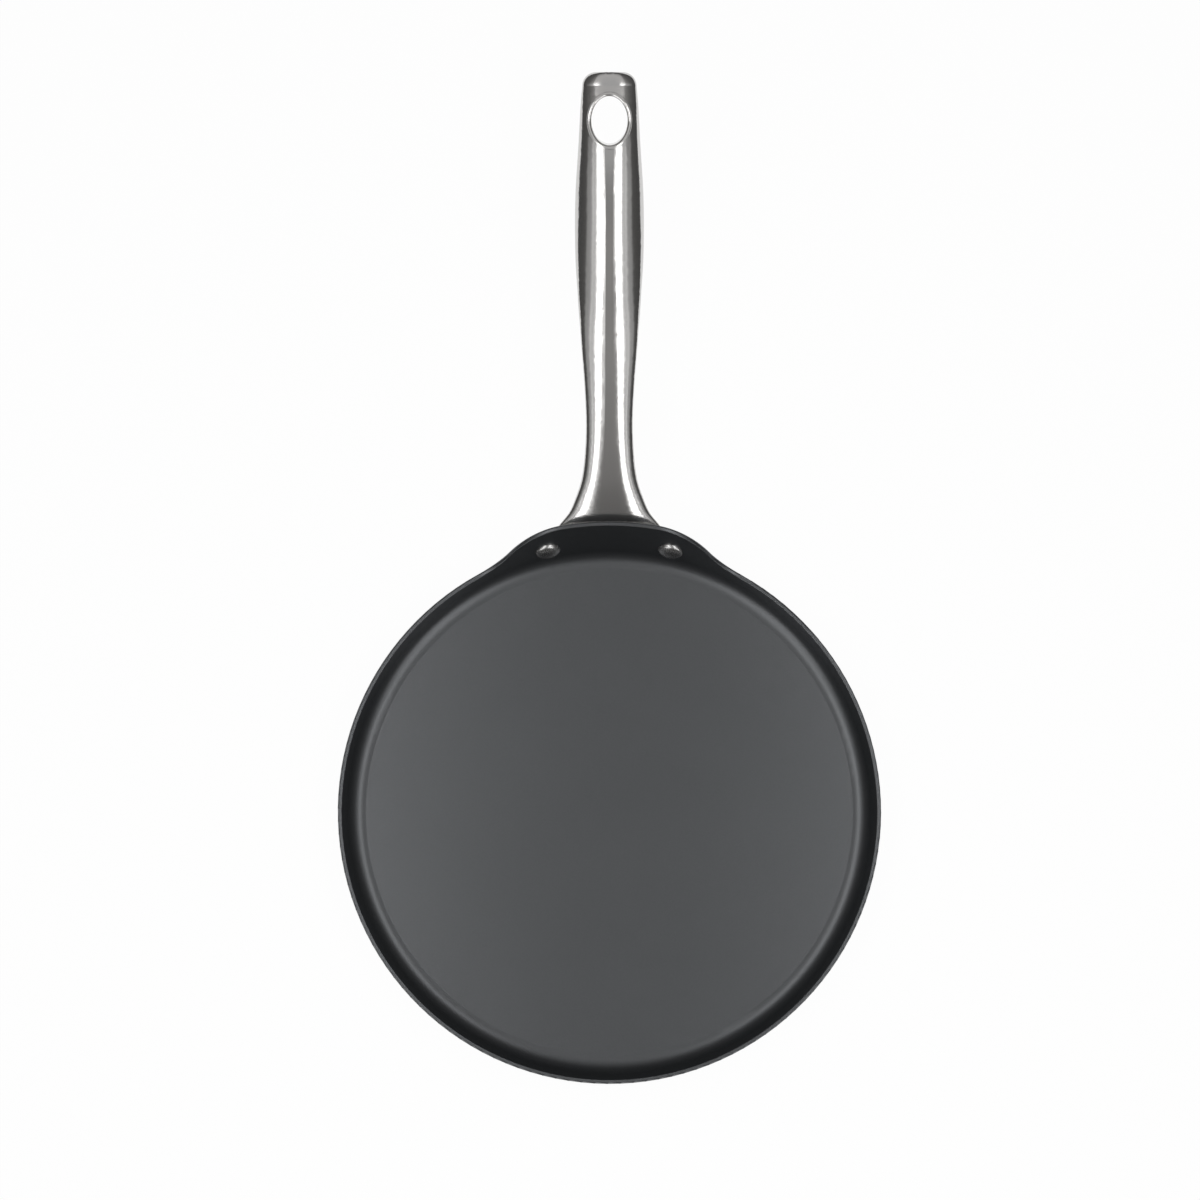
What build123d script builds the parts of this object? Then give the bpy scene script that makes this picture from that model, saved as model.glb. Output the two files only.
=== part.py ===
from build123d import *

import os
from math import asin, cos, degrees, hypot, pi, radians, sin, tan

os.makedirs("parts", exist_ok=True)

# Pan body: a pressed bowl with a flat floor, a low sloping wall and a raised lobe at the back
rim_diameter = 240.0
floor_thickness = 3.5
wall_thickness = 2.0
wall_slope = 62.0
inside_depth = 9.7
inside_corner_radius = 9.1
outside_corner_radius = 9.0
lobe_rise = 15.8
lobe_half_width = 57.5
lobe_crest_half_width = 20.3
lobe_crest_share = 0.64
lip_outer_radius = 0.7
lip_inner_radius = 0.4

# Induction plate: a thin perforated disc pressed flush into the underside
plate_diameter = 176.0
plate_thickness = 0.6
dot_diameter = 7.0
dot_ring_pitch = 22.0
dot_rings = 3
dots_in_first_ring = 8

# Mounting flange: a steel plate bent to the outside of the lobe, with a spigot inside the handle
flange_width = 69.0
flange_height = 19.2
flange_thickness = 2.0
flange_corner_radius = 7.0
flange_rim_gap = 5.1
spigot_length = 6.0
spigot_clearance = 0.15

# Rivets: domed inside the pan, closed by a low button behind the flange
rivet_spacing = 54.1
rivet_height = 13.9
rivet_head_diameter = 11.6
rivet_head_height = 2.5
rivet_shank_diameter = 6.0
rivet_tail_diameter = 9.6
rivet_tail_height = 2.0
rivet_bedding = 0.2

# Handle: two hollow shells that rise along a curved spine from the flange to the tip
handle_length = 200.0
handle_root_height = 19.6
handle_tip_height = 59.5
handle_root_rise = 24.0
handle_tip_rise = 3.0
grip_width = 30.4
grip_thickness = 18.0
crown_crease = 6.0
shell_thickness = 1.2
seam_drop = 1.8
tip_round_radius = 6.0
tip_crown_share = 0.25
tip_steps = 5
seam_steps = 8

# Hanging eye: an oval tube through both shells, with a lip just proud of them. Its edges are rolled
# over towards the hole and rounded outside, by shares of its wall.
eye_from_tip = 21.1
eye_width = 15.9
eye_length = 21.4
eye_wall = 2.0
eye_lip = 0.5
eye_roll_share = 0.5
eye_edge_share = 0.15

# Each row: place along the spine, half width, height above the widest line and depth below it,
# flat on top, how upright the sides and how long the crown start out, and the crease beside the
# flat, all as shares
station_shares = [
    (-0.060, 1.550, 0.180, 0.62, 0.26, 0.28, 0.78, 0.10),
    (-0.030, 1.540, 0.180, 0.62, 0.26, 0.28, 0.78, 0.10),
    (0.004, 1.450, 0.180, 0.61, 0.26, 0.28, 0.78, 0.10),
    (0.030, 1.185, 0.180, 0.60, 0.26, 0.28, 0.78, 0.10),
    (0.062, 0.998, 0.180, 0.59, 0.26, 0.28, 0.78, 0.10),
    (0.091, 0.865, 0.178, 0.58, 0.26, 0.29, 0.75, 0.11),
    (0.126, 0.767, 0.170, 0.56, 0.25, 0.32, 0.67, 0.14),
    (0.166, 0.713, 0.162, 0.54, 0.23, 0.35, 0.58, 0.17),
    (0.217, 0.681, 0.158, 0.52, 0.21, 0.36, 0.51, 0.21),
    (0.283, 0.697, 0.165, 0.51, 0.18, 0.35, 0.45, 0.26),
    (0.356, 0.757, 0.185, 0.51, 0.16, 0.32, 0.41, 0.31),
    (0.429, 0.829, 0.215, 0.515, 0.145, 0.30, 0.40, 0.36),
    (0.519, 0.914, 0.300, 0.53, 0.125, 0.30, 0.43, 0.55),
    (0.609, 0.985, 0.390, 0.55, 0.112, 0.33, 0.47, 0.78),
    (0.701, 1.000, 0.445, 0.55, 0.105, 0.35, 0.49, 0.90),
    (0.774, 0.974, 0.425, 0.52, 0.120, 0.35, 0.49, 0.90),
    (0.847, 0.914, 0.380, 0.46, 0.150, 0.35, 0.49, 0.82),
    (0.920, 0.862, 0.320, 0.38, 0.190, 0.35, 0.50, 0.60),
    (0.965, 0.828, 0.270, 0.33, 0.210, 0.35, 0.51, 0.40),
    (1.000, 0.785, 0.215, 0.28, 0.230, 0.35, 0.52, 0.25),
]
ellipse_share = 0.5523

rim_height = floor_thickness + inside_depth
lobe_height = rim_height + lobe_rise
overrun = rim_diameter
slope_run = 1.0 / tan(radians(wall_slope))
slope_width = 1.0 / sin(radians(wall_slope))

# The rim's sharp corner before its lip is rounded, which brings it in to the rim's diameter
rim_corner_radius = rim_diameter / 2 + lip_outer_radius * (1.0 / tan(radians(wall_slope) / 2) - 1.0)


def outer_radius(height, offset=0.0):
    """Radius of the wall's outside at a height, or of a surface that lies an offset outside it."""
    return rim_corner_radius + (height - rim_height) * slope_run + offset * slope_width


def inner_radius(height):
    """Radius of the wall's inside at a height."""
    return outer_radius(height, -wall_thickness)


def wall_ring(inside, outside, bottom, top):
    """Corners of a band that follows the wall between two offsets and two heights."""
    return [
        (outer_radius(bottom, inside), bottom),
        (outer_radius(bottom, outside), bottom),
        (outer_radius(top, outside), top),
        (outer_radius(top, inside), top),
    ]


def wall_cone(offset):
    """All that lies inside the surface at an offset outside the wall, above and below the pan."""
    bottom = -rim_height
    top = lobe_height + lobe_rise
    with BuildPart() as cone:
        with BuildSketch(Plane.XZ):
            with BuildLine():
                Polyline((0, bottom), *wall_ring(offset, offset, bottom, top)[1:3], (0, top), close=True)
            make_face()
        revolve(axis=Axis.Z)
    return cone.part


# The wall's upper edge seen from the front, as the area below it
with BuildSketch(Plane.XZ) as wall_outline:
    with BuildLine():
        crest = (lobe_crest_half_width, lobe_height)
        bend_place = lobe_crest_half_width + lobe_crest_share * (lobe_half_width - lobe_crest_half_width)
        bend = (bend_place, lobe_height - lobe_crest_share * lobe_rise)
        foot = (lobe_half_width, rim_height)
        Line((0, lobe_height), crest)
        shoulder = TangentArc(crest, bend, tangent=(1, 0))
        TangentArc(bend, foot, tangent=shoulder % 1)
        Polyline(foot, (overrun, rim_height), (overrun, -overrun), (0, -overrun))
        mirror(about=Plane.YZ)
    make_face()

with BuildPart() as trim_block:
    extrude(wall_outline.sketch, amount=overrun, dir=(0, 1, 0))
    with BuildSketch(Plane.XZ):
        with Locations((0, rim_height)):
            Rectangle(2 * overrun, overrun + rim_height, align=(Align.CENTER, Align.MAX))
    extrude(amount=overrun)

# The plate's outline with its rings of round holes
with BuildSketch() as plate_outline:
    Circle(plate_diameter / 2)
    for ring in range(1, dot_rings + 1):
        with PolarLocations(ring * dot_ring_pitch, ring * dots_in_first_ring):
            Circle(dot_diameter / 2, mode=Mode.SUBTRACT)

# Where each rivet pierces the wall: the origin lies on the wall's inside, +Z points into the pan
rivet_turn = degrees(asin(rivet_spacing / 2 / inner_radius(rivet_height)))


def rivet_seat(side):
    """The plane on the wall's inside that a rivet's head sits on, left for -1 and right for 1."""
    azimuth = radians(side * rivet_turn)
    reach = inner_radius(rivet_height)
    lean = radians(wall_slope)
    return Plane(
        origin=(reach * sin(azimuth), reach * cos(azimuth), rivet_height),
        x_dir=(cos(azimuth), -sin(azimuth), 0),
        z_dir=(-sin(azimuth) * sin(lean), -cos(azimuth) * sin(lean), cos(lean)),
    )


rivet_seats = [rivet_seat(-1), rivet_seat(1)]
rivet_grip = wall_thickness + flange_thickness
rivet_passage = rivet_grip + rivet_head_height + rivet_tail_height


def finish(piece, name):
    """Labels a finished piece and writes it under the name of its node."""
    piece.part.label = name
    export_step(piece.part, f"parts/{name}.step")
    print(name, "volume", round(piece.part.volume), "mm3,", len(piece.part.solids()), "solid")


def on_edge(edge, radius):
    """Whether an edge of the rim lies on the wall surface whose radius is given as a function."""
    middle = edge @ 0.5
    level = middle.Z > rim_height - lip_inner_radius
    return level and abs(hypot(middle.X, middle.Y) - radius(middle.Z)) < lip_inner_radius / 2


with BuildPart() as pan_body:
    with BuildSketch(Plane.XZ) as bowl_section:
        bowl_top = lobe_height + lobe_rise
        with BuildLine():
            Polyline(
                (0, 0),
                (outer_radius(0), 0),
                (outer_radius(bowl_top), bowl_top),
                (inner_radius(bowl_top), bowl_top),
                (inner_radius(floor_thickness), floor_thickness),
                (0, floor_thickness),
                close=True,
            )
        make_face()
        outside_corner = (outer_radius(0), 0)
        inside_corner = (inner_radius(floor_thickness), floor_thickness)
        fillet(bowl_section.vertices().sort_by_distance(outside_corner)[0], radius=outside_corner_radius)
        fillet(bowl_section.vertices().sort_by_distance(inside_corner)[0], radius=inside_corner_radius)
    revolve(axis=Axis.Z)
    add(trim_block.part, mode=Mode.INTERSECT)
    fillet(pan_body.edges().filter_by(lambda e: on_edge(e, outer_radius)), radius=lip_outer_radius)
    fillet(pan_body.edges().filter_by(lambda e: on_edge(e, inner_radius)), radius=lip_inner_radius)
    extrude(plate_outline.sketch, amount=plate_thickness, mode=Mode.SUBTRACT)
    with Locations(*rivet_seats):
        Cylinder(rivet_shank_diameter / 2, 2 * rivet_passage, mode=Mode.SUBTRACT)
finish(pan_body, "pan_body")

with BuildPart() as induction_plate:
    extrude(plate_outline.sketch, amount=plate_thickness)
finish(induction_plate, "induction_plate")


# The handle's middle line starts on the flange's outer face
handle_root_reach = outer_radius(handle_root_height, flange_thickness)
handle_tip_reach = handle_root_reach + handle_length
eye_reach = handle_tip_reach - eye_from_tip


def spine_height(share):
    """Height of the handle's middle line at a share of the way from its root to its tip."""
    rise = handle_tip_height - handle_root_height
    start = handle_length * tan(radians(handle_root_rise)) * (share**3 - 2 * share**2 + share)
    end = handle_length * tan(radians(handle_tip_rise)) * (share**3 - share**2)
    return handle_root_height + rise * (3 * share**2 - 2 * share**3) + start + end


def spine_share(reach):
    """Where a distance from the pan's centre lies on the way from the handle's root to its tip."""
    return (reach - handle_root_reach) / handle_length


def handle_section(reach, half_width, height, depth, flat, side, crown, crease):
    """One upright section across the handle, as a face of five edges at its reach."""
    flat_edge = flat * half_width
    crown_run = crown * (half_width - flat_edge)
    crown_point = (flat_edge + crown_run, height - crown_run * tan(radians(crown_crease * crease)))
    side_point = (half_width, side * height)
    belly_side = (half_width, -ellipse_share * depth)
    belly_point = (ellipse_share * half_width, -depth)
    centre = (0, reach, spine_height(spine_share(reach)))
    with BuildLine(Plane(origin=centre, x_dir=(1, 0, 0), z_dir=(0, -1, 0))) as outline:
        Bezier((half_width, 0), side_point, crown_point, (flat_edge, height))
        Line((flat_edge, height), (-flat_edge, height))
        Bezier((-flat_edge, height), across(crown_point), across(side_point), (-half_width, 0))
        Bezier((-half_width, 0), across(belly_side), across(belly_point), (0, -depth))
        Bezier((0, -depth), belly_point, belly_side, (half_width, 0))
    return Face(outline.wire())


def across(point):
    """The point of a section that mirrors the given one across the handle's middle."""
    return (-point[0], point[1])


def handle_form(inset):
    """The handle's outer form, or what is left of it when every side is drawn in by an inset."""
    round_radius = tip_round_radius - inset
    round_start = handle_tip_reach - tip_round_radius
    long_sections = []
    for place, *size_shares in station_shares:
        reach = handle_root_reach + place * (round_start - handle_root_reach)
        whole = (grip_width / 2, grip_thickness, grip_thickness)
        half_width, height, depth = [size * share - inset for size, share in zip(whole, size_shares)]
        shape = size_shares[len(whole) :]
        long_sections.append(handle_section(reach, half_width, height, depth, *shape))
    tip_sections = []
    for step in range(tip_steps + 1):
        turn = pi / 2 * step / tip_steps
        drawn = round_radius * (1 - cos(turn))
        lowered = tip_crown_share * drawn
        reach = round_start + round_radius * sin(turn)
        sizes = (half_width - drawn, height - lowered, depth - lowered)
        tip_sections.append(handle_section(reach, *sizes, *shape))
    with BuildPart() as form:
        loft(long_sections)
        loft(tip_sections)
    return form.part


handle_outside = handle_form(0.0)
handle_cavity = handle_form(shell_thickness)

# Where the shells part: the area above the spine, lowered by the seam's drop
with BuildPart() as above_seam:
    with BuildSketch(Plane.YZ):
        with BuildLine():
            shares = [step / seam_steps for step in range(-1, seam_steps + 2)]
            reaches = [handle_root_reach + u * handle_length for u in shares]
            seam = [(reach, spine_height(u) - seam_drop) for reach, u in zip(reaches, shares)]
            Spline(*seam)
            Polyline(seam[-1], (seam[-1][0], overrun), (seam[0][0], overrun), seam[0])
        make_face()
    extrude(amount=grip_width, both=True)

# The eye's axis stands square to the spine at the hanging hole
eye_share = spine_share(eye_reach)
eye_run = eye_length / 2
eye_rise = spine_height(spine_share(eye_reach + eye_run)) - spine_height(spine_share(eye_reach - eye_run))
eye_plane = Plane(
    origin=(0, eye_reach, spine_height(eye_share)),
    x_dir=(1, 0, 0),
    z_dir=(0, -eye_rise, eye_length),
)

with BuildPart() as eye_bore:
    with BuildSketch(eye_plane):
        Ellipse(eye_width / 2 + eye_wall, eye_length / 2 + eye_wall)
    extrude(amount=grip_thickness, both=True)

with BuildPart() as handle_shells:
    add(handle_outside)
    add(handle_cavity, mode=Mode.SUBTRACT)
    add(wall_cone(flange_thickness), mode=Mode.SUBTRACT)
    add(eye_bore.part, mode=Mode.SUBTRACT)

with BuildPart() as handle_upper_shell:
    add(handle_shells.part)
    add(above_seam.part, mode=Mode.INTERSECT)
finish(handle_upper_shell, "handle_upper_shell")

with BuildPart() as handle_lower_shell:
    add(handle_shells.part)
    add(above_seam.part, mode=Mode.SUBTRACT)
finish(handle_lower_shell, "handle_lower_shell")


def on_oval(edge, wall):
    """Whether an edge at the eye's ends lies on the oval that leaves a wall around the hole."""
    places = [eye_plane.to_local_coords(edge @ share) for share in (0.25, 0.5, 0.75)]
    spans = [hypot(place.X / (eye_width / 2 + wall), place.Y / (eye_length / 2 + wall)) for place in places]
    return edge.geom_type == GeomType.BSPLINE and all(abs(span - 1) < eye_lip / eye_length for span in spans)


with BuildPart() as hanging_eye:
    add(handle_form(-eye_lip))
    add(eye_bore.part, mode=Mode.INTERSECT)
    with BuildSketch(eye_plane):
        Ellipse(eye_width / 2, eye_length / 2)
    extrude(amount=grip_thickness, both=True, mode=Mode.SUBTRACT)
    fillet(hanging_eye.edges().filter_by(lambda e: on_oval(e, 0)), radius=eye_roll_share * eye_wall)
    fillet(hanging_eye.edges().filter_by(lambda e: on_oval(e, eye_wall)), radius=eye_edge_share * eye_wall)
finish(hanging_eye, "hanging_eye")

# The spigot fills the handle's mouth just behind the flange
with BuildPart() as spigot:
    with BuildSketch(Plane.XZ):
        with BuildLine():
            ring = wall_ring(flange_thickness, flange_thickness + spigot_length, 0, lobe_height + lobe_rise)
            Polyline(*ring, close=True)
        make_face()
    revolve(axis=Axis.Z)
    add(handle_form(shell_thickness + spigot_clearance), mode=Mode.INTERSECT)

with BuildPart() as mounting_flange:
    with BuildSketch(Plane.XZ):
        with BuildLine():
            Polyline(*wall_ring(0, flange_thickness, 0, lobe_height), close=True)
        make_face()
    revolve(axis=Axis.Z)
    with BuildSketch(Plane.XZ) as flange_outline:
        flange_top = lobe_height - flange_rim_gap
        with Locations((0, -flange_rim_gap)):
            add(wall_outline.sketch_local)
        with Locations((0, flange_top)):
            Rectangle(flange_width, flange_height, align=(Align.CENTER, Align.MAX), mode=Mode.INTERSECT)
        fillet(flange_outline.vertices().group_by(Axis.X)[0], radius=flange_corner_radius)
        fillet(flange_outline.vertices().group_by(Axis.X)[-1], radius=flange_corner_radius)
    extrude(amount=overrun, dir=(0, 1, 0), mode=Mode.INTERSECT)
    add(spigot.part)
    with Locations(*rivet_seats):
        Cylinder(rivet_shank_diameter / 2, 2 * rivet_passage, mode=Mode.SUBTRACT)
finish(mounting_flange, "mounting_flange")


def rivet_end(seat, height):
    """A dome on a short rim: the head above its seat, or the tail below it for a negative height."""
    rim = rivet_head_diameter / 2 if height > 0 else rivet_tail_diameter / 2
    bed = -rivet_bedding if height > 0 else rivet_bedding
    with BuildPart() as dome:
        with BuildSketch(Plane(origin=seat.origin, x_dir=seat.x_dir, z_dir=-seat.y_dir)):
            with BuildLine():
                shoulder = (ellipse_share * rim, height)
                side = (rim, ellipse_share * height)
                Bezier((0, height), shoulder, side, (rim, 0))
                Polyline((rim, 0), (rim, bed), (0, bed), (0, height))
            make_face()
        revolve(axis=Axis(seat.origin, seat.z_dir))
    return dome.part


def make_rivet(seat):
    """A rivet on its seat, its head's underside and its tail's shaped to the curved plates."""
    tail_seat = seat.offset(-rivet_grip)
    with BuildPart() as tail:
        add(rivet_end(tail_seat, -rivet_tail_height))
        add(wall_cone(flange_thickness), mode=Mode.SUBTRACT)
    with BuildPart() as rivet:
        add(rivet_end(seat, rivet_head_height))
        add(wall_cone(-wall_thickness), mode=Mode.INTERSECT)
        add(tail.part)
        with BuildSketch(seat.offset(rivet_bedding)):
            Circle(rivet_shank_diameter / 2)
        extrude(amount=-rivet_grip - 2 * rivet_bedding)
    return rivet


rivet_left = make_rivet(rivet_seats[0])
finish(rivet_left, "rivet_left")
rivet_right = make_rivet(rivet_seats[1])
finish(rivet_right, "rivet_right")
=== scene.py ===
"""Looks of the crepe pan: its materials, the pale studio and the camera straight above it."""

import math

import bpy
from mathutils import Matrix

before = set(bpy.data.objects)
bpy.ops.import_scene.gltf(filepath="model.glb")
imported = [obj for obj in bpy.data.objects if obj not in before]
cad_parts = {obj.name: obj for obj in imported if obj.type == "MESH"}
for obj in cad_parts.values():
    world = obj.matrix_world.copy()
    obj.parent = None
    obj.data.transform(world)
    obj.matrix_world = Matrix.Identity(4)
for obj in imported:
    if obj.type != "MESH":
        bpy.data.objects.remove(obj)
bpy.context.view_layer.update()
MM = 0.001

# The photograph's frame: its size in pixels, the rim's radius in it and where the pan's upright
# axis crosses it, in pixels from the frame's upper left corner
FRAME_PX = 1200
RIM_RADIUS_PX = 271.9
RIM_RADIUS = 120 * MM
CENTRE_PX = (609.4, 812.4)

# The camera's distance from the height at which the rim's scale is taken, and its sensor
CAMERA_DISTANCE = 16.0
SCALE_HEIGHT = 18 * MM
SENSOR_MM = 36.0

# The bare underside: it lies lower than this and within this radius, and its edges are this soft
BARE_HEIGHT = 0.3 * MM
BARE_HEIGHT_FADE = 0.1 * MM
BARE_RADIUS = 100.0 * MM
BARE_RADIUS_FADE = 0.3 * MM

# The floor: how far it reaches, how far it lies under the pan, its grey, and the share of pure
# white in it for the camera and in reflections
FLOOR_HALF = 30.0
FLOOR_DROP = 0.02 * MM
FLOOR_GREY = 0.88
FLOOR_LIFT = 0.97

# Lamps hang at one height. An area lamp's energy is its area times its radiance times this.
LAMP_HEIGHT = 0.50
ENERGY_PER_RADIANCE = 4

# Strips along the handle on both sides: name, distance from its middle plane, width, radiance
STRIP_MIDDLE = -0.07
STRIP_LENGTH = 0.76
STRIPS = [
    ("strip", 0.214, 0.129, 2.2),
    ("border", 0.36, 0.12, 0.34),
    ("outer border", 0.52, 0.20, 0.20),
]

# One more strip softens the left side's inner edge
FALL_OFF_PLACE = -0.118
FALL_OFF_WIDTH = 0.062
FALL_OFF_RADIANCE = 0.45

# A square box in front on each side, turned and leaned towards the pan
FRONT_PLACE = 0.53
FRONT_SIDE = 0.30
FRONT_RADIANCE = 1.75
FRONT_LEAN = math.radians(56)
FRONT_TURN = math.radians(45)

# Patches over the handle's tip, one inside the other
PATCH_PLACE = 0.54
PATCH_WIDTHS = (0.24, 0.38, 0.52)
PATCH_SHORTEST = 0.30
PATCH_RADIANCE = 0.19

# The room's grey by height in the sky, from the horizon at 0 to straight overhead at 1
HORIZON_GREY = 0.07
ZENITH_GREY = 0.27
SKY_GREYS = ((0.36, 0.09), (0.67, 0.12), (0.80, 0.22), (0.88, 0.34), (0.96, 0.30))
SKY_WARMTH = 0.02

STEEL_WARMTH = 0.012


def fill(tree, socket, value):
    """Sets an input's value, or links it where the value is another node's output."""
    if isinstance(value, bpy.types.NodeSocket):
        tree.links.new(value, socket)
    else:
        socket.default_value = value


class Net:
    """A node tree, and short calls that add nodes to it."""

    def __init__(self, owner):
        owner.use_nodes = True
        self.tree = owner.node_tree

    def node(self, kind, values=None, **settings):
        """A node with the given settings, its inputs set or linked by name or number."""
        made = self.tree.nodes.new(kind)
        for key, value in settings.items():
            setattr(made, key, value)
        for key, value in (values or {}).items():
            fill(self.tree, made.inputs[key], value)
        return made

    def math(self, operation, *values):
        """The result of one sum on numbers or outputs."""
        return self.node("ShaderNodeMath", dict(enumerate(values)), operation=operation).outputs[0]

    def blend(self, share, first, second):
        """A shader between two others, by a share from 0 to 1."""
        return self.node("ShaderNodeMixShader", {0: share, 1: first, 2: second}).outputs[0]


class Shader(Net):
    """A node material with its principled shader, and short calls that add nodes to it."""

    def __init__(self, name):
        self.material = bpy.data.materials.new(name)
        super().__init__(self.material)
        self.main = self.tree.nodes["Principled BSDF"]
        self.place = self.node("ShaderNodeTexCoord").outputs["Object"]

    def band(self, value, low, high, start=0.0, end=1.0):
        """The value's place between low and high, as a smooth step from start to end."""
        spread = {"Value": value, 1: low, 2: high, 3: start, 4: end}
        return self.node("ShaderNodeMapRange", spread, interpolation_type="SMOOTHSTEP").outputs[0]

    def span(self, value, start, end):
        """A value from 0 to 1 turned into one from start to end."""
        return self.node("ShaderNodeMapRange", {"Value": value, 3: start, 4: end}).outputs[0]

    def noise(self, x, y=None, z=None, detail=2.0, roughness=0.5):
        """Noise with grains of a size in metres along each axis, from 0 to 1 around one half."""
        sizes = (x, y or x, z or x)
        stretch = {0: self.place, 1: tuple(1 / size for size in sizes)}
        where = self.node("ShaderNodeVectorMath", stretch, operation="MULTIPLY").outputs[0]
        values = {"Vector": where, "Scale": 1.0, "Detail": detail, "Roughness": roughness}
        return self.node("ShaderNodeTexNoise", values).outputs[0]

    def radius(self):
        """The distance from the pan's upright axis."""
        x, y, _ = self.node("ShaderNodeSeparateXYZ", {0: self.place}).outputs
        squares = [self.math("MULTIPLY", part, part) for part in (x, y)]
        return self.math("SQRT", self.math("ADD", *squares))

    def rings(self, pitch):
        """Turning marks around the pan's upright axis, from 0 to 1, a pitch in metres apart."""
        along = self.math("DIVIDE", self.radius(), pitch)
        values = {"W": along, "Scale": 1.0, "Detail": 2.0}
        return self.node("ShaderNodeTexNoise", values, noise_dimensions="1D").outputs[0]

    def mix(self, share, first, second):
        """A colour between two others, by a share from 0 to 1."""
        made = self.node("ShaderNodeMix", data_type="RGBA")
        sockets = {socket.identifier: socket for socket in made.inputs}
        for key, value in (("Factor_Float", share), ("A_Color", first), ("B_Color", second)):
            fill(self.tree, sockets[key], value)
        return next(socket for socket in made.outputs if socket.identifier == "Result_Color")

    def bump(self, height, distance, under=None):
        """A bump from a height of 0 to 1 that stands for a depth in metres."""
        values = {"Height": height, "Distance": distance}
        if under is not None:
            values["Normal"] = under
        return self.node("ShaderNodeBump", values).outputs[0]

    def feed(self, **sources):
        """Sets or links the principled shader's inputs, named with underscores for spaces."""
        for key, value in sources.items():
            fill(self.tree, self.main.inputs[key.replace("_", " ")], value)
        return self.material


def grey(level, warmth=0.0):
    """A near-grey colour, a little redder than blue where warmth is positive."""
    return (level * (1 + warmth), level, level * (1 - warmth), 1.0)


def nonstick():
    """Dark satin coating with a fine grain, and a turned bare base under the floor."""
    made = Shader("dark nonstick coating")
    height = made.node("ShaderNodeSeparateXYZ", {0: made.place}).outputs[2]
    low = made.band(height, BARE_HEIGHT + BARE_HEIGHT_FADE, BARE_HEIGHT)
    within = made.band(made.radius(), BARE_RADIUS + BARE_RADIUS_FADE, BARE_RADIUS)
    bare = made.math("MULTIPLY", low, within)
    grain = made.noise(0.75 * MM, detail=3.0, roughness=0.65)
    cloud = made.noise(40 * MM, detail=3.0)
    rings = made.rings(0.25 * MM)
    coat = made.mix(made.band(grain, 0.35, 0.65), grey(0.006, -0.10), grey(0.010, -0.10))
    metal = made.mix(rings, grey(0.52), grey(0.68))
    coat_roughness = made.math("ADD", made.span(cloud, 0.34, 0.37), made.span(grain, -0.05, 0.05))
    roughness = made.math("SUBTRACT", coat_roughness, made.math("MULTIPLY", bare, 0.06))
    peel = made.bump(grain, 0.016 * MM)
    return made.feed(
        Base_Color=made.mix(bare, coat, metal),
        Metallic=bare,
        Roughness=roughness,
        IOR=1.6,
        Specular_IOR_Level=1.0,
        Specular_Tint=(0.93, 0.96, 1.0, 1.0),
        Normal=made.bump(made.math("MULTIPLY", rings, bare), 0.02 * MM, under=peel),
    )


def brushed(name, level, roughness, grain, depth, stretch=0.0):
    """Steel with fine brush marks, whose grain gives their size along each axis of the frame."""
    made = Shader(name)
    scratch = made.noise(*grain, detail=3.0, roughness=0.55)
    patch = made.noise(22 * MM, detail=2.0)
    wear = made.noise(1.6 * MM, 3.0 * MM, 1.6 * MM, detail=3.0)
    darker, lighter = [grey(level * share, STEEL_WARMTH) for share in (0.96, 1.04)]
    spread = made.math("ADD", made.span(scratch, -0.025, 0.025), made.span(patch, -0.02, 0.02))
    worn = made.math("ADD", spread, made.band(wear, 0.60, 0.75, 0.0, 0.02))
    along_handle = made.node("ShaderNodeCombineXYZ", {1: 1.0}).outputs[0]
    return made.feed(
        Base_Color=made.mix(scratch, darker, lighter),
        Metallic=1.0,
        Roughness=made.math("ADD", worn, roughness),
        Anisotropic=stretch,
        Tangent=along_handle,
        Normal=made.bump(scratch, depth),
    )


def turned_steel():
    """The plate under the base, turned in fine rings."""
    made = Shader("turned plate steel")
    rings = made.rings(0.3 * MM)
    patch = made.noise(18 * MM, detail=2.0)
    return made.feed(
        Base_Color=made.mix(rings, grey(0.50), grey(0.60)),
        Metallic=1.0,
        Roughness=made.math("ADD", made.span(rings, 0.20, 0.32), made.span(patch, 0.0, 0.06)),
        Normal=made.bump(rings, 0.01 * MM),
    )


# Each steel: its grey, its roughness, its grain's size along X, Y and Z, and the marks' depth
handle_grain = (12 * MM, 0.3 * MM, 12 * MM)
flange_grain = (6 * MM, 0.4 * MM, 0.4 * MM)
rivet_grain = (0.5 * MM, 0.5 * MM, 0.5 * MM)
eye_grain = (0.6 * MM, 0.6 * MM, 0.6 * MM)
handle_steel = brushed("brushed handle steel", 0.62, 0.165, handle_grain, 0.0005 * MM, stretch=0.6)
flange_steel = brushed("satin flange steel", 0.52, 0.28, flange_grain, 0.001 * MM)
rivet_steel = brushed("polished rivet steel", 0.42, 0.27, rivet_grain, 0.001 * MM)
eye_steel = brushed("polished eye steel", 0.66, 0.18, eye_grain, 0.0006 * MM)
finishes = {
    "pan_body": nonstick(),
    "induction_plate": turned_steel(),
    "mounting_flange": flange_steel,
    "handle_upper_shell": handle_steel,
    "handle_lower_shell": handle_steel,
    "hanging_eye": eye_steel,
    "rivet_left": rivet_steel,
    "rivet_right": rivet_steel,
}
for node, finish in finishes.items():
    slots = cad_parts[node].data.materials
    slots.clear()
    slots.append(finish)


def add_object(name, data):
    """A new object in the scene that shows the given data."""
    made = bpy.data.objects.new(name, data)
    bpy.context.scene.collection.objects.link(made)
    return made


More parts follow.
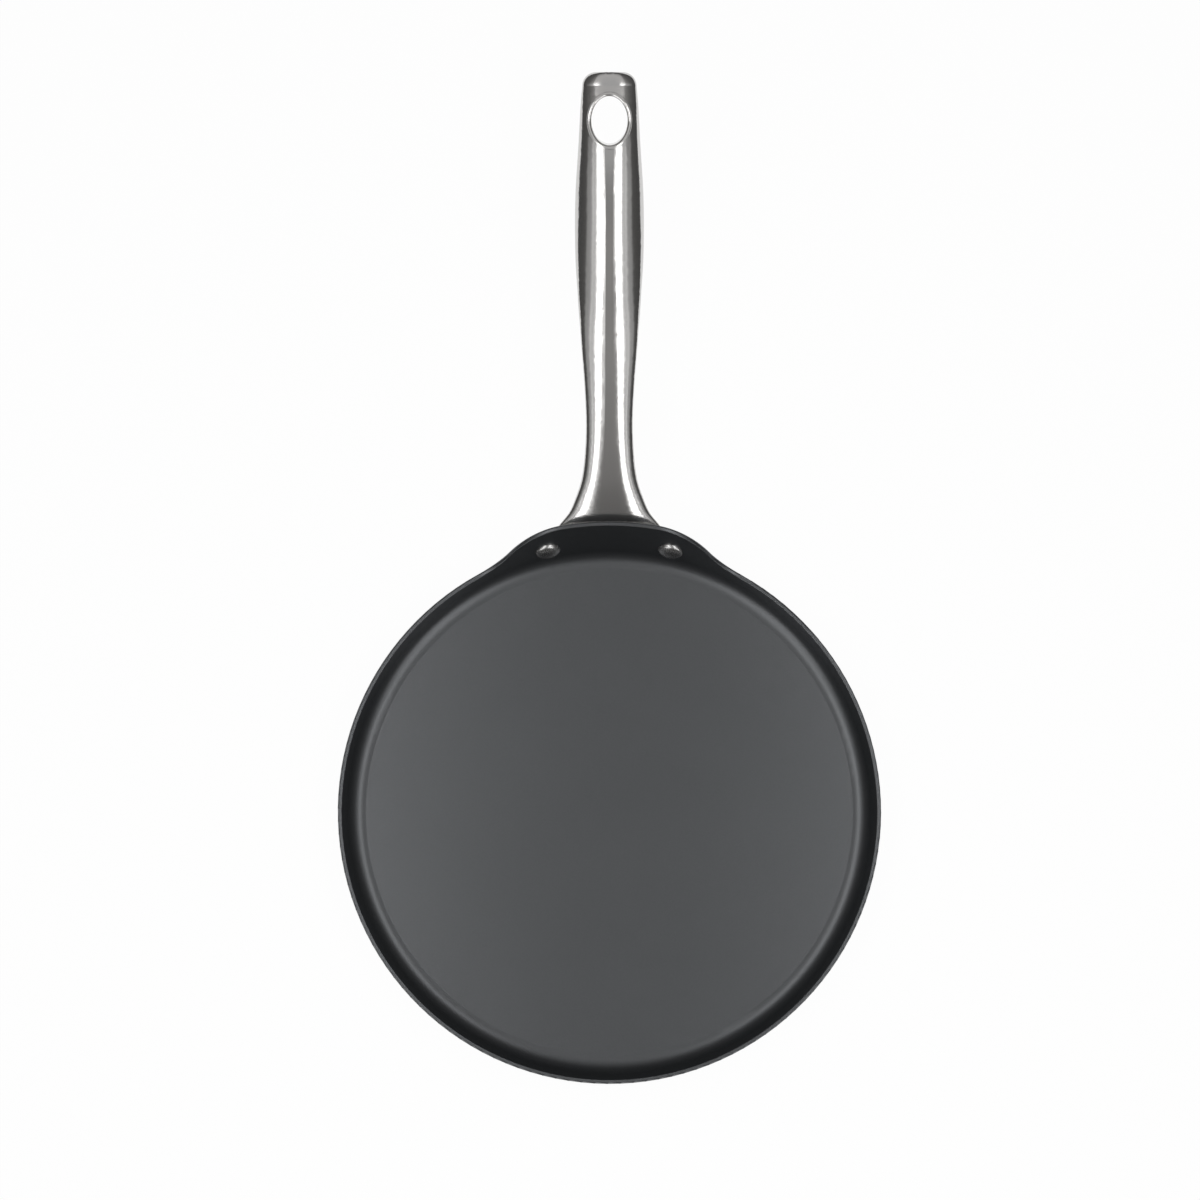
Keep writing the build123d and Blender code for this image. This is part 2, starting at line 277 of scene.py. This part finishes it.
def floor_material():
    """A white floor that is lifted towards pure white for the camera and in reflections."""
    material = bpy.data.materials.new("pale floor")
    net = Net(material)
    net.tree.nodes.clear()
    path = net.node("ShaderNodeLightPath").outputs
    direct = net.math("MAXIMUM", path["Is Camera Ray"], path["Is Glossy Ray"])
    seen = net.math("MAXIMUM", direct, path["Is Transmission Ray"])
    lift = net.math("MULTIPLY", seen, FLOOR_LIFT)
    diffuse = net.node("ShaderNodeBsdfDiffuse", {"Color": grey(FLOOR_GREY)}).outputs[0]
    glow = net.node("ShaderNodeEmission").outputs[0]
    net.node("ShaderNodeOutputMaterial", {"Surface": net.blend(lift, diffuse, glow)})
    return material


floor_mesh = bpy.data.meshes.new("floor")
corners = [(x * FLOOR_HALF, y * FLOOR_HALF, -FLOOR_DROP) for x, y in ((-1, -1), (1, -1), (1, 1), (-1, 1))]
floor_mesh.from_pydata(corners, [], [(0, 1, 2, 3)])
floor_mesh.materials.append(floor_material())
floor = add_object("floor", floor_mesh)


def softbox(name, x, y, size, radiance):
    """A rectangular light of a radiance that leans sideways to face the handle's middle plane."""
    lamp = bpy.data.lights.new(name, "AREA")
    lamp.shape = "RECTANGLE"
    lamp.size, lamp.size_y = size
    lamp.energy = radiance * size[0] * size[1] * ENERGY_PER_RADIANCE
    made = add_object(name, lamp)
    made.location = (x, y, LAMP_HEIGHT)
    made.rotation_euler = (0, math.atan2(x, LAMP_HEIGHT), 0)
    made.visible_camera = False
    return made


for side in (-1, 1):
    for name, place, width, radiance in STRIPS:
        softbox(f"{name} {side}", side * place, STRIP_MIDDLE, (width, STRIP_LENGTH), radiance)
    front_size = (FRONT_SIDE, FRONT_SIDE)
    front = softbox(f"front box {side}", side * FRONT_PLACE, -FRONT_PLACE, front_size, FRONT_RADIANCE)
    front.rotation_euler = (FRONT_LEAN, 0, side * FRONT_TURN)
fall_off_size = (FALL_OFF_WIDTH, STRIP_LENGTH)
softbox("left fall-off", FALL_OFF_PLACE, STRIP_MIDDLE, fall_off_size, FALL_OFF_RADIANCE)
for width in PATCH_WIDTHS:
    patch_size = (width, PATCH_SHORTEST + width / 2)
    softbox(f"back patch {width:.2f}", 0, PATCH_PLACE, patch_size, PATCH_RADIANCE)

# The room is white where the camera sees it, and a grey sky for the light and the reflections
world = bpy.data.worlds.new("room")
bpy.context.scene.world = world
room = Net(world)
room.tree.nodes.clear()
direction = room.node("ShaderNodeTexCoord").outputs["Generated"]
height = room.node("ShaderNodeSeparateXYZ", {0: direction}).outputs[2]
sky = room.node("ShaderNodeValToRGB", {0: height})
stops = sky.color_ramp.elements
stops[0].color = grey(HORIZON_GREY)
stops[1].color = grey(ZENITH_GREY)
for place, level in SKY_GREYS:
    stops.new(place).color = grey(level, SKY_WARMTH)
around = room.node("ShaderNodeBackground", {"Color": sky.outputs[0]}).outputs[0]
white = room.node("ShaderNodeBackground", {"Color": grey(1.0)}).outputs[0]
seen = room.node("ShaderNodeLightPath").outputs["Is Camera Ray"]
room.node("ShaderNodeOutputWorld", {"Surface": room.blend(seen, around, white)})

# The camera looks straight down with a long lens, up the picture along the handle
scale = RIM_RADIUS / RIM_RADIUS_PX
camera = add_object("camera", bpy.data.cameras.new("camera"))
camera.data.sensor_width = SENSOR_MM
camera.data.lens = SENSOR_MM * CAMERA_DISTANCE / (FRAME_PX * scale)
camera.data.clip_end = 2 * CAMERA_DISTANCE
camera.location = (
    (FRAME_PX / 2 - CENTRE_PX[0]) * scale,
    (CENTRE_PX[1] - FRAME_PX / 2) * scale,
    CAMERA_DISTANCE + SCALE_HEIGHT,
)
bpy.context.scene.camera = camera
bpy.context.scene.view_settings.view_transform = "Standard"
